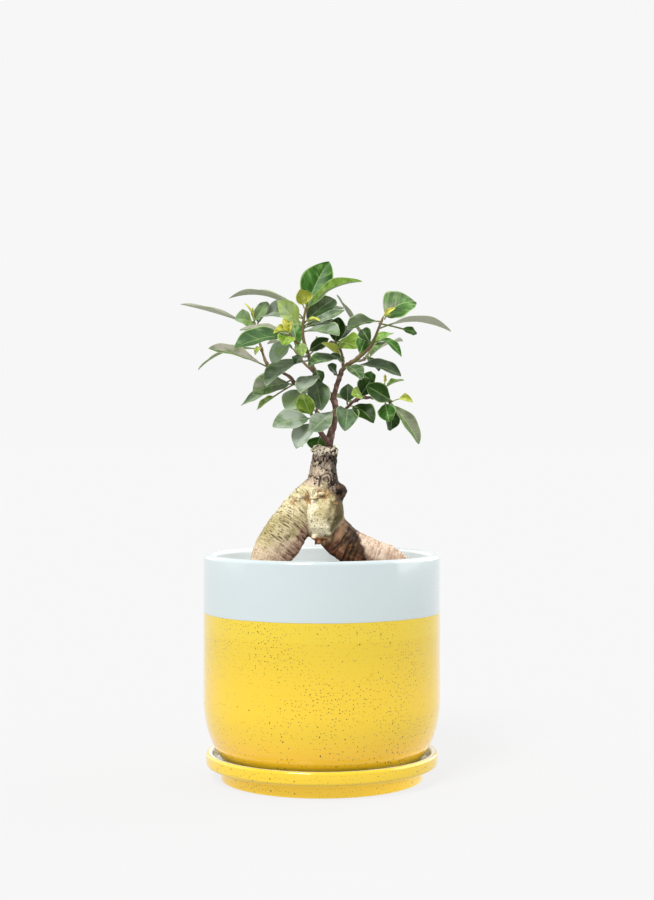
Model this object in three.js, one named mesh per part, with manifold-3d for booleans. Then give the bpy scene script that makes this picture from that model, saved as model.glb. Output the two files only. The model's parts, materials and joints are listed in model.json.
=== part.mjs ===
// A grafted ficus bonsai in a two-tone glazed planter on its saucer.
// Millimetres, +Z up, the front faces -Y. The origin is the centre of the saucer's flat underside.
import * as THREE from 'three';
import { mergeVertices } from 'three/addons/utils/BufferGeometryUtils.js';
import Module from 'manifold-3d';

const wasm = await Module();
wasm.setup();

const TURN_STEPS = 64;
const GAP = 0.3;

// The planter: straight wall above, elliptical belly below, foot ring underneath.
const POT_RADIUS = 82.5;
const POT_TOP = 156.8;
const POT_WALL = 7;
const POT_FLOOR = 7;
const BELLY_TOP = 56;
const FOOT_RADIUS = 50;
const FOOT_WIDTH = 6;
const FOOT_HEIGHT = 1.5;
const DRAIN_RADIUS = 6;
const LIP_ROUND = 2.6;

// The saucer: a narrower base under a wider upright collar.
const SAUCER_BASE_RADIUS = 70.6;
const SAUCER_COLLAR_RADIUS = 80.8;
const SAUCER_COLLAR_BOTTOM = 10.4;
const SAUCER_TOP = 19.2;
const SAUCER_FLOOR = 4;
const SAUCER_WALL = 4.4;
const SAUCER_WELL_RADIUS = 64;

// The potting mix lies this far under the rim, a little higher in the middle.
const SOIL_BELOW_RIM = 22;
const SOIL_MOUND = 3;

// A leaf: blade rows from stalk to tip, thickness, and the raised midrib underneath.
const BLADE_ROWS = [0.05, 0.2, 0.38, 0.56, 0.74, 0.89, 1];
const BLADE_THICKNESS = 0.6;
const STALK_RADIUS = 0.7;
const RIB_DEPTH = 0.5;
const LEAF_FOLD = 14;

const FINISHES = {
  potGlaze: { color: 0xf2d24e, roughness: 0.25 },
  saucerGlaze: { color: 0xf2d24e, roughness: 0.25 },
  soil: { color: 0x2c2019, roughness: 0.95 },
  root: { color: 0xa8986a, roughness: 0.7 },
  stem: { color: 0x6b4a3d, roughness: 0.75 },
  old: { color: 0x2f5a3c, roughness: 0.4 },
  mature: { color: 0x3f8a34, roughness: 0.4 },
  young: { color: 0x9bbf3a, roughness: 0.4 },
};

// Every shoot of the grafted crown: points along it, and its radius at both ends.
const SHOOTS = {
  stem: { points: [[5, 0, 231.5], [7, 0, 243], [10, 1, 255], [8, 2, 267]], radii: [3, 2.4] },
  crown: {
    points: [
      [8, 2, 265], [2, 4, 272], [-4, 6, 281], [-8, 6, 292],
      [-13, 3, 307], [-13, 1, 318], [-11, -1, 329],
    ],
    radii: [2.2, 0.9],
  },
  right: {
    points: [
      [8, 2, 265], [12, 0, 279], [15, -3, 286], [24, -10, 292],
      [34, -18, 301], [38, -24, 310], [42, -28, 320],
    ],
    radii: [2.1, 0.9],
  },
  left: {
    points: [
      [-2, 3, 276], [-16, 5, 273], [-23, 9, 281],
      [-38, 14, 289], [-43, 18, 301], [-48, 20, 320],
    ],
    radii: [1.5, 0.8],
  },
  middle: { points: [[-10, 4, 298], [-16, -10, 303], [-22, -22, 309]], radii: [1.2, 0.8] },
  inner: { points: [[15, -3, 286], [14, 8, 297], [8, 18, 306], [-1, 26, 301]], radii: [1.3, 0.8] },
  lower_right: {
    points: [
      [9, 1, 252], [15, -8, 256], [24, -18, 264],
      [36, -26, 265], [48, -32, 262],
    ],
    radii: [1.4, 0.8],
  },
  lower_left: { points: [[5, -1, 234], [-1, -6, 241], [-6, -10, 251], [-9, -12, 259]], radii: [2, 1] },
  side: { points: [[22, -16, 263], [32, -8, 269], [44, 0, 275]], radii: [1.1, 0.8] },
  back_left: { points: [[-5, 6, 284], [-12, 20, 290], [-20, 40, 301]], radii: [1.3, 0.8] },
  back_right: { points: [[22, -9, 291], [30, 12, 293], [36, 34, 303]], radii: [1.2, 0.8] },
  back: { points: [[6, 1, 234], [0, 14, 241], [-4, 28, 256], [2, 42, 273]], radii: [1.8, 0.9] },
};

// Every leaf, by the shoot it grows on. at: how far along the shoot. heading and rise: the
// direction from stalk to tip, in degrees round from +X and up from level. face: the way the
// upper side looks. arch: how far the midrib bows towards that side, and bend: how far it bows
// sideways. stalk: its length, where it is longer than most.
const LEAVES = {
  crown: [
    {
      at: 0.97, heading: 38, rise: 59, length: 41, width: 20,
      face: [0, -3, 1], arch: -1, bend: 2, age: 'mature',
    },
    {
      at: 1, heading: -19, rise: 24, length: 44, width: 13,
      face: [-1, -3, 3], arch: 3, bend: 3, age: 'mature',
    },
    { at: 1, heading: -137, rise: 65, length: 17, width: 11, face: [1, -3, 0], arch: -2, age: 'young' },
    { at: 0.85, heading: 34, rise: 32, length: 32, width: 16, face: [-1, -3, 2], arch: 2, age: 'old' },
    { at: 0.8, heading: -135, rise: 34, length: 30, width: 13, face: [1, -3, 1], arch: 1, age: 'mature' },
    { at: 0.9, heading: 156, rise: 18, length: 61, width: 14, face: [0, 0, 1], arch: 7, age: 'old' },
    { at: 0.76, heading: -44, rise: -8, length: 35, width: 12, face: [0, -2, 3], arch: 2, age: 'old' },
    { at: 0.82, heading: 20, rise: 22, length: 34, width: 10, face: [-1, -1, 2], arch: 2, age: 'old' },
    { at: 0.88, heading: 138, rise: 6, length: 42, width: 15, face: [0, -3, 2], arch: 4, age: 'old' },
    {
      at: 0.46, heading: -133, rise: -24, length: 48, width: 14,
      face: [-1, -2, 2], arch: 3, bend: -3, age: 'old',
    },
    { at: 0.3, heading: -105, rise: -20, length: 40, width: 12, face: [0, 0, 1], arch: 1, age: 'old' },
    { at: 0.27, heading: -80, rise: -51, length: 30, width: 12, face: [1, -6, 2], arch: 1, age: 'old' },
  ],
  middle: [
    {
      at: 0.98, heading: -162, rise: -15, length: 41, width: 15,
      face: [-1, -3, 3], arch: 3, age: 'mature',
    },
    { at: 0.95, heading: 160, rise: 6, length: 38, width: 11, face: [0, -1, 3], arch: 2, age: 'old' },
    { at: 1, heading: -107, rise: -30, length: 17, width: 10, face: [0, -2, 1], arch: 1, age: 'young' },
    { at: 0.8, heading: 176, rise: -49, length: 23, width: 12, face: [-1, -3, 1], arch: 1, age: 'mature' },
  ],
  left: [
    {
      at: 0.98, heading: -167, rise: 14, length: 55, width: 15, stalk: 8,
      face: [0, -1, 4], arch: 1, age: 'old',
    },
    { at: 1, heading: -133, rise: 3, length: 19, width: 12, face: [-1, -3, 1], arch: 1, age: 'mature' },
    { at: 0.97, heading: 36, rise: 59, length: 20, width: 9, face: [-1, -2, 1], arch: 1, age: 'old' },
    {
      at: 0.55, heading: -162, rise: 15, length: 46, width: 15, stalk: 8,
      face: [0, -1, 2], arch: 2, age: 'old',
    },
    { at: 0.75, heading: 158, rise: -13, length: 52, width: 9, face: [-1, 0, 2], arch: 5, age: 'mature' },
    { at: 0.25, heading: -153, rise: -14, length: 33, width: 16, face: [-1, -2, 2], arch: 3, age: 'old' },
    { at: 0.3, heading: 165, rise: -26, length: 42, width: 12, face: [-1, -2, 3], arch: 0, age: 'old' },
    {
      at: 0.14, heading: -124, rise: -40, length: 27, width: 14,
      face: [-1, -3, 1], arch: 1, age: 'mature',
    },
  ],
  lower_left: [
    { at: 0.8, heading: -121, rise: 49, length: 20, width: 12, face: [-1, -3, 0], arch: 1, age: 'young' },
    { at: 0.75, heading: -153, rise: -11, length: 31, width: 14, face: [0, -3, 2], arch: 2, age: 'old' },
    { at: 0.65, heading: -134, rise: -47, length: 26, width: 12, face: [-1, -3, 1], arch: 2, age: 'old' },
    { at: 0.6, heading: 162, rise: -60, length: 19, width: 8, face: [-3, -1, 0], arch: 2, age: 'old' },
  ],
  stem: [
    { at: 0.7, heading: -119, rise: -22, length: 38, width: 14, face: [0, -3, 1], arch: 0, age: 'old' },
  ],
  back: [
    { at: 0.28, heading: 139, rise: -69, length: 14, width: 14, face: [0, -3, 1], arch: 1, age: 'mature' },
    { at: 0.95, heading: 129, rise: -3, length: 28, width: 14, face: [0, 1, 2], arch: 3, age: 'mature' },
  ],
  inner: [
    { at: 0.6, heading: -46, rise: -9, length: 22, width: 14, face: [0, -3, 2], arch: 1, age: 'young' },
    { at: 0.2, heading: -142, rise: -9, length: 31, width: 10, face: [0, -3, 4], arch: 2, age: 'old' },
    { at: 0.95, heading: 116, rise: -11, length: 20, width: 13, face: [-1, -1, 1], arch: 2, age: 'old' },
    { at: 0.65, heading: 65, rise: 25, length: 29, width: 15, face: [-1, -4, 3], arch: 2, age: 'old' },
  ],
  right: [
    { at: 0.95, heading: -162, rise: -13, length: 25, width: 13, face: [0, -2, 3], arch: 2, age: 'old' },
    {
      at: 1, heading: 15, rise: 24, length: 26, width: 19, stalk: 2,
      face: [-2, -6, 3], arch: 1, bend: 4, age: 'mature',
    },
    {
      at: 0.9, heading: 19, rise: 1, length: 53, width: 13,
      face: [0, 1, 4], arch: 5, stalk: 9, age: 'old',
    },
    { at: 0.76, heading: -44, rise: -21, length: 27, width: 12, face: [1, -2, 2], arch: 4, age: 'mature' },
    { at: 0.52, heading: 66, rise: 49, length: 19, width: 10, face: [0, -3, 1], arch: 1, age: 'mature' },
    {
      at: 0.4, heading: -26, rise: -14, length: 40, width: 13, stalk: 7,
      face: [0, -1, 2], arch: 4, age: 'old',
    },
    { at: 0.38, heading: -76, rise: -19, length: 37, width: 10, face: [0, -3, 4], arch: 2, age: 'old' },
  ],
  back_right: [
    { at: 0.9, heading: -166, rise: 57, length: 46, width: 10, face: [1, 0, 1], arch: 0, age: 'old' },
    { at: 0.6, heading: 52, rise: 17, length: 46, width: 12, face: [0, 1, 4], arch: 3, age: 'old' },
  ],
  back_left: [
    { at: 0.95, heading: 103, rise: 47, length: 38, width: 13, face: [0, 1, 2], arch: 3, age: 'mature' },
  ],
  lower_right: [
    { at: 1, heading: -146, rise: 26, length: 24, width: 12, face: [-1, -6, 2], arch: 1, age: 'mature' },
    { at: 0.35, heading: -100, rise: 64, length: 16, width: 10, face: [0, -6, 1], arch: 0, age: 'old' },
    { at: 0.62, heading: -143, rise: 10, length: 12, width: 8, face: [-1, -3, 2], arch: 1, age: 'young' },
    { at: 0.38, heading: -46, rise: -31, length: 26, width: 13, face: [1, -6, 4], arch: 3, age: 'mature' },
    { at: 0.3, heading: -95, rise: -36, length: 28, width: 14, face: [1, -6, 4], arch: 4, age: 'mature' },
    { at: 0.92, heading: -79, rise: -61, length: 17, width: 10, face: [-1, -6, 1], arch: 1, age: 'mature' },
    { at: 0.99, heading: 17, rise: -55, length: 35, width: 12, face: [4, -6, 3], arch: 2, age: 'old' },
    { at: 0.96, heading: 83, rise: -56, length: 24, width: 11, face: [1, -3, 1], arch: 1, age: 'old' },
  ],
  side: [
    { at: 1, heading: 30, rise: 11, length: 16, width: 8, face: [-1, -1, 2], arch: 1, age: 'mature' },
    { at: 0.75, heading: -156, rise: 41, length: 14, width: 10, face: [-1, -2, 2], arch: 1, age: 'mature' },
  ],
};

// The swollen rootstock: each root and the neck as a run of [x, y, z, radius].
const ROOTS = {
  neck: [[3, 0, 231, 8.8], [2, 0, 222, 9.2], [1, 0, 211, 10.5], [0, -1, 198, 13]],
  left_leg: [
    [2, 0, 207, 9], [-8, 0, 195, 12.5], [-18.5, -2, 181, 14], [-28.5, -5, 166, 15], [-38, -8, 152, 12.5],
    [-43, -10, 136, 9], [-46, -11, 112, 6], [-46, -10, 88, 3],
  ],
  right_leg: [
    [3, -1, 177, 12], [17, -1, 163, 12.6], [32, -3, 156, 12.4], [48, -5, 150.5, 11],
    [59.5, -6, 140, 8], [63, -6, 118, 4.5], [63, -5, 92, 2.5],
  ],
  back_leg: [
    [2, 3, 188, 11], [12, 20, 166, 10], [22, 36, 150, 8.5], [28, 45, 132, 6.5], [30, 48, 104, 3],
  ],
};
const BULB = { centre: [0.5, -3, 185], radii: [15.2, 15, 21] };
const KNOB = { centre: [12.5, -2, 200], radii: [5.2, 6, 6] };

function closed(geometry) {
  geometry.deleteAttribute('normal');
  geometry.deleteAttribute('uv');
  return mergeVertices(geometry, 1e-4);
}

function toSolid(geometry) {
  const vertProperties = new Float32Array(geometry.attributes.position.array);
  const triVerts = new Uint32Array(geometry.index.array);
  return new wasm.Manifold(new wasm.Mesh({ numProp: 3, vertProperties, triVerts }));
}

function toGeometry(solid) {
  const mesh = solid.getMesh();
  const geometry = new THREE.BufferGeometry();
  geometry.setAttribute('position', new THREE.BufferAttribute(mesh.vertProperties.slice(), 3));
  geometry.setIndex(new THREE.BufferAttribute(mesh.triVerts.slice(), 1));
  return geometry;
}

function turned(profile) {
  const points = profile.map(([radius, height]) => new THREE.Vector2(radius, height));
  const geometry = new THREE.LatheGeometry(points, TURN_STEPS);
  geometry.rotateX(Math.PI / 2);
  return closed(geometry);
}

// Skins a run of rings, all with the same number of points, and closes both ends with a fan.
function skinned(rings) {
  const sides = rings[0].length;
  const points = rings.flat();
  const ends = [rings[0], rings[rings.length - 1]].map((ring) => {
    const middle = new THREE.Vector3();
    ring.forEach((point) => middle.addScaledVector(point, 1 / sides));
    return points.push(middle) - 1;
  });
  const index = [];
  const lastRing = (rings.length - 1) * sides;
  for (let side = 0; side < sides; side += 1) {
    const next = (side + 1) % sides;
    for (let row = 0; row < rings.length - 1; row += 1) {
      const near = row * sides;
      const far = near + sides;
      index.push(near + side, near + next, far + next);
      index.push(near + side, far + next, far + side);
    }
    index.push(ends[0], next, side);
    index.push(ends[1], lastRing + side, lastRing + next);
  }
  const geometry = new THREE.BufferGeometry().setFromPoints(points);
  geometry.setIndex(index);
  return geometry;
}

// A tapering round rod along a curve, radiusAt giving its radius from 0 at the start to 1.
function rod(curve, radiusAt, steps, sides) {
  const frames = curve.computeFrenetFrames(steps, false);
  const rings = [];
  for (let step = 0; step <= steps; step += 1) {
    const share = step / steps;
    const centre = curve.getPointAt(share);
    const ring = [];
    for (let side = 0; side < sides; side += 1) {
      const angle = (2 * Math.PI * side) / sides;
      const point = centre.clone();
      point.addScaledVector(frames.normals[step], radiusAt(share) * Math.cos(angle));
      point.addScaledVector(frames.binormals[step], radiusAt(share) * Math.sin(angle));
      ring.push(point);
    }
    rings.push(ring);
  }
  return skinned(rings);
}

function curveThrough(points) {
  return new THREE.CatmullRomCurve3(points.map((point) => new THREE.Vector3(...point)));
}

function joined(solids) {
  return solids.reduce((whole, next) => whole.add(next));
}

function part(name, geometry, finish) {
  const material = new THREE.MeshStandardMaterial({ ...FINISHES[finish], metalness: 0 });
  const mesh = new THREE.Mesh(geometry, material);
  mesh.name = name;
  return mesh;
}

// Radius of the planter's outside at a height in the belly, drawn in by inset for its inside.
function bellyRadius(height, inset) {
  const base = SAUCER_FLOOR + GAP;
  const drop = Math.min(1, (BELLY_TOP - height) / (BELLY_TOP - base));
  const reach = POT_RADIUS - FOOT_RADIUS;
  return FOOT_RADIUS + reach * Math.sqrt(1 - drop * drop) - inset;
}

function pot() {
  const base = SAUCER_FLOOR + GAP;
  const floor = base + POT_FLOOR;
  const profile = [
    [DRAIN_RADIUS, base + FOOT_HEIGHT],
    [FOOT_RADIUS - FOOT_WIDTH, base + FOOT_HEIGHT],
    [FOOT_RADIUS - FOOT_WIDTH, base],
    [FOOT_RADIUS, base],
  ];
  for (const height of [5.5, 9, 15, 24, 36, 46]) {
    profile.push([bellyRadius(height, 0), height]);
  }
  profile.push([POT_RADIUS, BELLY_TOP]);
  const lip = POT_TOP - LIP_ROUND;
  for (const angle of [0, 45, 90]) {
    const turn = THREE.MathUtils.degToRad(angle);
    profile.push([POT_RADIUS - LIP_ROUND + LIP_ROUND * Math.cos(turn), lip + LIP_ROUND * Math.sin(turn)]);
  }
  profile.push([POT_RADIUS - POT_WALL + 1.2, POT_TOP - 0.3]);
  profile.push([POT_RADIUS - POT_WALL, POT_TOP - 1.8]);
  for (const height of [BELLY_TOP, 36, 22]) {
    profile.push([bellyRadius(height, POT_WALL), height]);
  }
  profile.push([FOOT_RADIUS, floor]);
  profile.push([DRAIN_RADIUS, floor]);
  profile.push([DRAIN_RADIUS, base + FOOT_HEIGHT]);
  return part('pot', turned(profile), 'potGlaze');
}

function saucer() {
  const inside = SAUCER_COLLAR_RADIUS - SAUCER_WALL;
  const profile = [
    [0, 0],
    [SAUCER_BASE_RADIUS - 1, 0],
    [SAUCER_BASE_RADIUS, 1],
    [SAUCER_BASE_RADIUS, SAUCER_COLLAR_BOTTOM - 3],
    [SAUCER_BASE_RADIUS + 1.5, SAUCER_COLLAR_BOTTOM - 1],
    [SAUCER_COLLAR_RADIUS - 1.5, SAUCER_COLLAR_BOTTOM],
    [SAUCER_COLLAR_RADIUS, SAUCER_COLLAR_BOTTOM + 1.5],
    [SAUCER_COLLAR_RADIUS, SAUCER_TOP - 2],
    [SAUCER_COLLAR_RADIUS - 1.2, SAUCER_TOP - 0.4],
    [SAUCER_COLLAR_RADIUS - 2.4, SAUCER_TOP],
    [inside, SAUCER_TOP - 1],
    [inside - 1.5, SAUCER_COLLAR_BOTTOM + 2],
    [SAUCER_WELL_RADIUS + 2, SAUCER_FLOOR + 1.5],
    [SAUCER_WELL_RADIUS - 2, SAUCER_FLOOR],
    [0, SAUCER_FLOOR],
  ];
  return part('saucer', turned(profile), 'saucerGlaze');
}

// The rootstock's solid, grown by extra on every side for the hollow it leaves in the soil.
function rootSolid(extra) {
  const solids = Object.values(ROOTS).map((run) => {
    const curve = curveThrough(run.map(([x, y, z]) => [x, y, z]));
    const radius = curveThrough(run.map(([, , , r]) => [r, 0, 0]));
    const lengths = curve.getLengths(100);
    const radiusAt = (share) => {
      const at = lengths.findIndex((length) => length >= share * lengths[100] - 1e-6) / 100;
      return radius.getPoint(at).x + extra;
    };
    return toSolid(rod(curve, radiusAt, 2 * run.length, 12));
  });
  for (const lump of [BULB, KNOB]) {
    const ball = closed(new THREE.SphereGeometry(1, 16, 12));
    ball.scale(...lump.radii.map((radius) => radius + extra));
    ball.translate(...lump.centre);
    solids.push(toSolid(ball));
  }
  return joined(solids);
}

function rootstock() {
  return part('rootstock', toGeometry(rootSolid(0)), 'root');
}

function soil() {
  const edge = POT_TOP - SOIL_BELOW_RIM;
  const floor = SAUCER_FLOOR + GAP + POT_FLOOR + GAP;
  const profile = [[0, floor], [FOOT_RADIUS - 1, floor]];
  for (const height of [22, 36, BELLY_TOP]) {
    profile.push([bellyRadius(height, POT_WALL + 1.5 * GAP), height]);
  }
  profile.push([POT_RADIUS - POT_WALL - 1.5 * GAP, edge - 1]);
  profile.push([POT_RADIUS - POT_WALL - 4, edge]);
  profile.push([POT_RADIUS / 2, edge + SOIL_MOUND * 0.8]);
  profile.push([0, edge + SOIL_MOUND]);
  const solid = toSolid(turned(profile)).subtract(rootSolid(1.4 * GAP));
  return part('soil', toGeometry(solid), 'soil');
}

function shootRadius(shoot, share) {
  return THREE.MathUtils.lerp(shoot.radii[0], shoot.radii[1], share);
}

function stems() {
  const solids = Object.values(SHOOTS).map((shoot) => {
    const curve = curveThrough(shoot.points);
    return toSolid(rod(curve, (share) => shootRadius(shoot, share), 2 * shoot.points.length, 6));
  });
  return part('stems', toGeometry(joined(solids)), 'stem');
}

// Half the blade's width at a share of the way to the tip: wedge-shaped base, blunt tip.
function bladeOutline(share) {
  return Math.sin(Math.PI * share ** 1.1) ** 0.8;
}

function leaf(name, shoot, spec) {
  const curve = curveThrough(shoot.points);
  const heading = THREE.MathUtils.degToRad(spec.heading);
  const rise = THREE.MathUtils.degToRad(spec.rise);
  const level = Math.cos(rise);
  const aim = new THREE.Vector3(level * Math.cos(heading), level * Math.sin(heading), Math.sin(rise));
  const foot = curve.getPointAt(spec.at);
  const tip = foot.clone().addScaledVector(aim, spec.length);
  // The stalk starts just clear of the shoot's bark, on the side that the leaf points to.
  const along = curve.getTangentAt(spec.at);
  const outward = aim.clone().addScaledVector(along, -aim.dot(along)).normalize();
  foot.addScaledVector(outward, shootRadius(shoot, spec.at) + STALK_RADIUS + GAP);
  const reach = tip.clone().sub(foot);
  const length = reach.length();
  reach.normalize();
  const up = new THREE.Vector3(...spec.face);
  up.addScaledVector(reach, -up.dot(reach)).normalize();
  const side = new THREE.Vector3().crossVectors(up, reach);
  const fold = THREE.MathUtils.degToRad(LEAF_FOLD);
  const { bend = 0, stalk = 2 + 0.05 * length } = spec;
  const midrib = (share) => {
    const bow = 4 * share * (1 - share);
    const point = foot.clone().addScaledVector(reach, length * share);
    return point.addScaledVector(up, spec.arch * bow).addScaledVector(side, bend * bow);
  };
  const ring = (share, section) => section.map(([across, high]) => {
    return midrib(share).addScaledVector(side, across).addScaledVector(up, high);
  });
  const round = [[-1, 0], [-0.5, -0.8], [0.5, -0.8], [1, 0], [0.5, 0.8], [-0.5, 0.8]];
  const stalkSection = round.map(([across, high]) => [across * STALK_RADIUS, high * STALK_RADIUS]);
  const rings = [ring(0, stalkSection), ring(stalk / length, stalkSection)];
  for (const row of BLADE_ROWS) {
    const half = Math.max(0.6, (spec.width / 2) * bladeOutline(row));
    const rib = RIB_DEPTH * (1 - row);
    const edge = half * Math.sin(fold);
    const section = [
      [-half * Math.cos(fold), edge],
      [-0.3 * half, 0.3 * edge - BLADE_THICKNESS / 2],
      [0, -BLADE_THICKNESS / 2 - rib],
      [0.3 * half, 0.3 * edge - BLADE_THICKNESS / 2],
      [half * Math.cos(fold), edge],
      [0, BLADE_THICKNESS / 2],
    ];
    rings.push(ring((stalk + (length - stalk) * row) / length, section));
  }
  return part(name, skinned(rings), spec.age);
}

const bonsai = new THREE.Group();
bonsai.add(pot(), saucer(), soil(), rootstock(), stems());
for (const [shootName, specs] of Object.entries(LEAVES)) {
  specs.forEach((spec, place) => {
    bonsai.add(leaf(`${shootName}_leaf_${place + 1}`, SHOOTS[shootName], spec));
  });
}

export default bonsai;
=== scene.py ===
# A grafted ficus bonsai in a two-tone glazed planter on its saucer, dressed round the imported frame.
import json
import math
from functools import partialmethod

import bmesh
import bpy
import numpy as np
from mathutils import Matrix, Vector


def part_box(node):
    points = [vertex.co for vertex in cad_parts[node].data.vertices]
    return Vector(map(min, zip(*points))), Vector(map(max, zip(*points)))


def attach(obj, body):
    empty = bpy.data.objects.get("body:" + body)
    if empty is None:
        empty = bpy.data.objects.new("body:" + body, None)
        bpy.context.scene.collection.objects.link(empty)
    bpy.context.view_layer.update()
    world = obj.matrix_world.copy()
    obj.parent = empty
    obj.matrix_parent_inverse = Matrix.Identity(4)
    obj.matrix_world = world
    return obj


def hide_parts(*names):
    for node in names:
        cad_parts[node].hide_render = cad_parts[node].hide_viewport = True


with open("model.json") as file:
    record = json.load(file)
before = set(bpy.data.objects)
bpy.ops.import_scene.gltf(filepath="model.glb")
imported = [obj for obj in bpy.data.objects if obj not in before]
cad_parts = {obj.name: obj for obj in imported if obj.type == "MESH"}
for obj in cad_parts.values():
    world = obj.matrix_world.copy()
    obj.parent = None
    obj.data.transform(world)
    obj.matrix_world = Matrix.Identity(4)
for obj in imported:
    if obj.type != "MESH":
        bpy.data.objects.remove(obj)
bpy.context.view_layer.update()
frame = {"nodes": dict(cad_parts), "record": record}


# ---- Saucer ----
# A stoneware saucer, thrown with a narrow base under a wider upright collar. It is dipped in
# yellow glaze with iron specks and its well is lined with pale glaze; its underside, bare on the real
# saucer, takes the yellow glaze here.
class Flow:
    """A value on its way through a node tree, so that shapes and finishes are written as sums."""

    def __init__(self, tree, socket):
        self.tree, self.socket = tree, socket

    def math(self, operation, *others):
        return result(self.tree, "ShaderNodeMath", dict(enumerate((self, *others))), operation=operation)

    __add__ = __radd__ = partialmethod(math, "ADD")
    __mul__ = __rmul__ = partialmethod(math, "MULTIPLY")
    __sub__ = partialmethod(math, "SUBTRACT")
    __truediv__ = partialmethod(math, "DIVIDE")
    __pow__ = partialmethod(math, "POWER")
    __abs__ = partialmethod(math, "ABSOLUTE")
    __neg__ = partialmethod(math, "MULTIPLY", -1.0)

    def __rsub__(self, other):
        return -self + other

    def step(self, low, high):
        """0 below low and 1 above high, easing in between; the other way round if low is above high."""
        feeds = {"Value": self, "From Min": low, "From Max": high}
        return result(self.tree, "ShaderNodeMapRange", feeds, interpolation_type="SMOOTHSTEP")


def placed(tree, kind, feeds=None, **options):
    """Adds a node and feeds its sockets, by name or by number, with values or with Flows."""
    node = tree.nodes.new(kind)
    for option, value in options.items():
        setattr(node, option, value)
    for socket, value in (feeds or {}).items():
        if isinstance(value, Flow):
            tree.links.new(value.socket, node.inputs[socket])
        else:
            node.inputs[socket].default_value = value
    return node


def result(tree, kind, feeds=None, output=0, **options):
    return Flow(tree, placed(tree, kind, feeds, **options).outputs[output])


def parts_of(whole, kind="ShaderNodeSeparateXYZ"):
    """The three numbers that a vector or a colour is made of."""
    return [Flow(whole.tree, part) for part in placed(whole.tree, kind, {0: whole}).outputs]


def tint(code):
    """A colour written as six hexadecimal digits, as the linear colour that a shader takes."""
    parts = [int(code[at:at + 2], 16) / 255 for at in (0, 2, 4)]
    return (*[part / 12.92 if part <= 0.04045 else ((part + 0.055) / 1.055) ** 2.4 for part in parts], 1.0)


def blended(share, first, second):
    """first where share is 0 and second where it is 1; each is a tint's code or a Flow of colour."""
    first, second = (tint(colour) if isinstance(colour, str) else colour for colour in (first, second))
    return result(share.tree, "ShaderNodeMix", {0: share, 6: first, 7: second}, output=2, data_type="RGBA")


def layered(colour, *coats):
    """Lays coats over a colour, one after another: each is its share from 0 to 1, and its own colour."""
    for share, coat in coats:
        colour = blended(share, colour, coat)
    return colour


def mottle(where, scale, detail=2.0, roughness=0.5):
    """Cloudy noise from 0 to 1, scale being blotches to the metre."""
    feeds = {"Vector": where, "Scale": scale, "Detail": detail, "Roughness": roughness}
    return result(where.tree, "ShaderNodeTexNoise", feeds)


def finish(roughness, colour, relief, relief_depth, ior=1.5, **shine):
    """Ends the tree of a material and gives the material; ior and shine set plain sockets."""
    tree = colour.tree
    bump = result(tree, "ShaderNodeBump", {"Height": relief, "Distance": relief_depth, "Strength": 1.0})
    feeds = {"Base Color": colour, "Roughness": roughness, "Normal": bump, "IOR": ior, **shine}
    shader = result(tree, "ShaderNodeBsdfPrincipled", feeds)
    tree.links.new(shader.socket, placed(tree, "ShaderNodeOutputMaterial").inputs["Surface"])
    return next(made for made in bpy.data.materials if made.node_tree == tree)


def material_tree(name):
    material = bpy.data.materials.new(name)
    material.use_nodes = True
    material.node_tree.nodes.clear()
    return material.node_tree


def own_place(tree):
    """Object coordinates, whole and as three numbers."""
    where = result(tree, "ShaderNodeTexCoord", output="Object")
    return where, *parts_of(where)


def specks(where, spacing, size, share):
    """Round specks: 1 in a speck and 0 outside, in that share of cells that lie spacing apart."""
    tree, feeds = where.tree, {"Vector": where, "Scale": 1 / spacing, "Randomness": 1.0}
    cells = placed(tree, "ShaderNodeTexVoronoi", feeds, voronoi_dimensions="2D", feature="F1")
    lots = parts_of(Flow(tree, cells.outputs["Color"]), "ShaderNodeSeparateColor")
    reach = (0.4 + 0.6 * lots[0]) * size * (1 / spacing)
    distance = Flow(tree, cells.outputs["Distance"])
    return (distance / reach).step(1.0, 0.55) * (share - lots[1]).step(-0.01, 0.01)


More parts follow.
